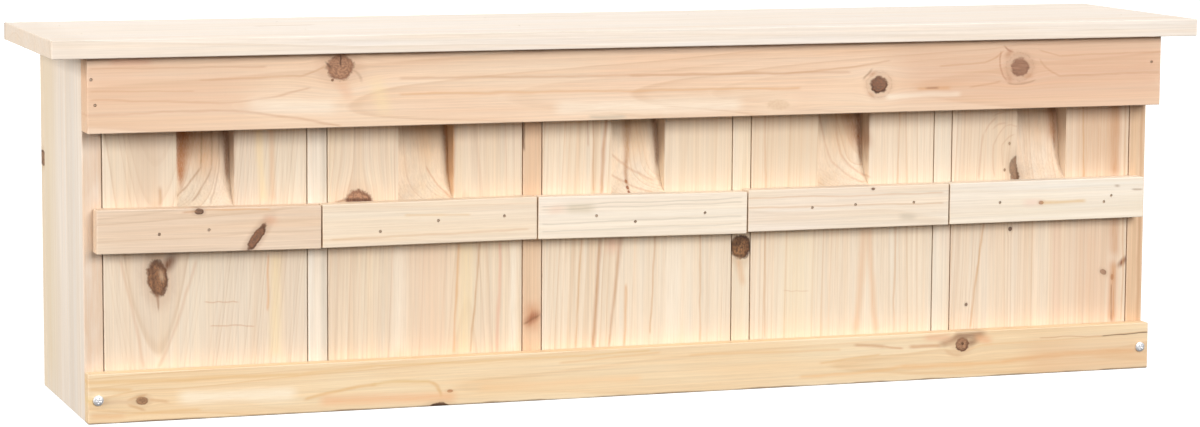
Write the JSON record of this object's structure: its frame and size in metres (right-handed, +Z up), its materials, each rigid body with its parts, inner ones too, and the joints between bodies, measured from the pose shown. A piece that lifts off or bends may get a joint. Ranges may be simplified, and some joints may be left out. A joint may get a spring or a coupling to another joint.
{
  "type": "nest box",
  "caption": "Wooden terrace nest box: a row of rooms under one overhanging roof board, each with a lift-up front panel, a routed entrance and a perch bar.",
  "frame": {"origin": "centre of the bounding box's footprint, on the surface that the box stands on", "axes": "+Z up, +X along the row of rooms, to the right as seen from the front, +Y towards the wall behind the box"},
  "size_m": [0.68, 0.15, 0.21],
  "materials": {
    "roof_wood": "bare planed softwood, very pale",
    "fascia_wood": "bare planed softwood, peach-tan with knots",
    "side_wood": "bare planed softwood, pale",
    "divider_wood": "bare planed softwood, pale",
    "door_wood": "bare planed softwood, upright grain",
    "perch_wood": "bare sawn softwood, pale cream",
    "strip_wood": "bare planed softwood, honey yellow",
    "back_wood": "bare sawn softwood",
    "floor_wood": "bare sawn softwood",
    "brad_steel": "dull bright-drawn steel",
    "screw_steel": "bright zinc plate",
    "hanger_steel": "zinc-plated sheet"
  },
  "bodies": {
    "housing": {"roof_board": "roof_wood", "fascia_board": "fascia_wood", "side_panel_left": "side_wood", "side_panel_right": "side_wood", "back_panel": "back_wood", "floor_board": "floor_wood", "divider_1": "divider_wood", "divider_2": "divider_wood", "divider_3": "divider_wood", "divider_4": "divider_wood", "fascia_brad_1": "brad_steel", "fascia_brad_2": "brad_steel", "fascia_brad_3": "brad_steel", "roof_brad_1": "brad_steel", "roof_brad_2": "brad_steel", "roof_brad_3": "brad_steel", "roof_brad_4": "brad_steel", "roof_brad_5": "brad_steel", "roof_brad_6": "brad_steel", "roof_brad_7": "brad_steel", "roof_brad_8": "brad_steel", "roof_brad_9": "brad_steel", "roof_brad_10": "brad_steel", "roof_brad_11": "brad_steel", "roof_brad_12": "brad_steel", "hanger_plate_left": "hanger_steel", "hanger_plate_right": "hanger_steel", "hanger_screw_1": "hanger_steel", "hanger_screw_2": "hanger_steel", "hanger_screw_3": "hanger_steel", "hanger_screw_4": "hanger_steel"},
    "door_1": {"door_panel_1": "door_wood", "perch_bar_1": "perch_wood", "perch_brad_1_1": "brad_steel", "perch_brad_1_2": "brad_steel"},
    "door_2": {"door_panel_2": "door_wood", "perch_bar_2": "perch_wood", "perch_brad_2_1": "brad_steel", "perch_brad_2_2": "brad_steel", "perch_brad_2_3": "brad_steel"},
    "door_3": {"door_panel_3": "door_wood", "perch_bar_3": "perch_wood", "perch_brad_3_1": "brad_steel", "perch_brad_3_2": "brad_steel", "perch_brad_3_3": "brad_steel"},
    "door_4": {"door_panel_4": "door_wood", "perch_bar_4": "perch_wood", "perch_brad_4_1": "brad_steel", "perch_brad_4_2": "brad_steel", "perch_brad_4_3": "brad_steel"},
    "door_5": {"door_panel_5": "door_wood", "perch_bar_5": "perch_wood", "perch_brad_5_1": "brad_steel", "perch_brad_5_2": "brad_steel", "perch_brad_5_3": "brad_steel"},
    "strip": {"bottom_strip": "strip_wood", "strip_screw_left": "screw_steel", "strip_screw_right": "screw_steel"}
  },
  "joints": [
    {"name": "door_1_lift", "type": "slide", "parent": "housing", "child": "door_1", "axis": [0, 0, 1], "range_m": [0, 0.029]},
    {"name": "door_2_lift", "type": "slide", "parent": "housing", "child": "door_2", "axis": [0, 0, 1], "range_m": [0, 0.029]},
    {"name": "door_3_lift", "type": "slide", "parent": "housing", "child": "door_3", "axis": [0, 0, 1], "range_m": [0, 0.029]},
    {"name": "door_4_lift", "type": "slide", "parent": "housing", "child": "door_4", "axis": [0, 0, 1], "range_m": [0, 0.029]},
    {"name": "door_5_lift", "type": "slide", "parent": "housing", "child": "door_5", "axis": [0, 0, 1], "range_m": [0, 0.029]},
    {"name": "strip_removal", "type": "slide", "parent": "housing", "child": "strip", "axis": [0, -1, 0], "range_m": [0, 0.045]}
  ]
}
